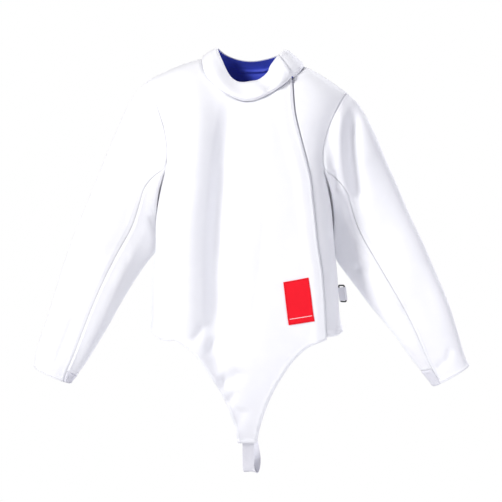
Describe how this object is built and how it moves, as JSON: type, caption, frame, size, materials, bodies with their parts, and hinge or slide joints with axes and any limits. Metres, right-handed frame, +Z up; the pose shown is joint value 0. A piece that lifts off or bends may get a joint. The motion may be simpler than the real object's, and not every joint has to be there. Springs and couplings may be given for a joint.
{
  "type": "fencing jacket, filled out with no wearer",
  "caption": "White fencing jacket with long sleeves, a stand collar with a blue lining, a side closure and a crotch strap, filled out as worn.",
  "frame": {"origin": "middle of the neck opening, level with the shoulders, where the wearer's shoulders hold the jacket up", "axes": "+Z up, -Y out of the jacket's front, +X towards the wearer's left sleeve"},
  "size_m": [0.9646, 0.2249, 0.942],
  "materials": {
    "jacket_cloth": "dense white woven cloth, matt",
    "stretch_cloth": "white stretch cloth, matt",
    "lining": "royal blue lining cloth",
    "label_cloth": "red woven label",
    "webbing": "white elastic webbing, ribbed",
    "black_plastic": "black moulded plastic"
  },
  "bodies": {
    "root": {"front_main": "jacket_cloth", "front_left": "jacket_cloth", "back": "jacket_cloth", "sleeve_upper_left": "jacket_cloth", "sleeve_upper_right": "jacket_cloth", "sleeve_under_left": "jacket_cloth", "sleeve_under_right": "jacket_cloth", "cuff_elastic_left": "stretch_cloth", "cuff_elastic_right": "stretch_cloth", "collar_band": "jacket_cloth", "collar_lining": "lining", "back_neck_lining": "lining", "label": "label_cloth", "crotch_strap": "webbing", "side_strap": "webbing", "side_buckle": "black_plastic"}
  },
  "joints": []
}
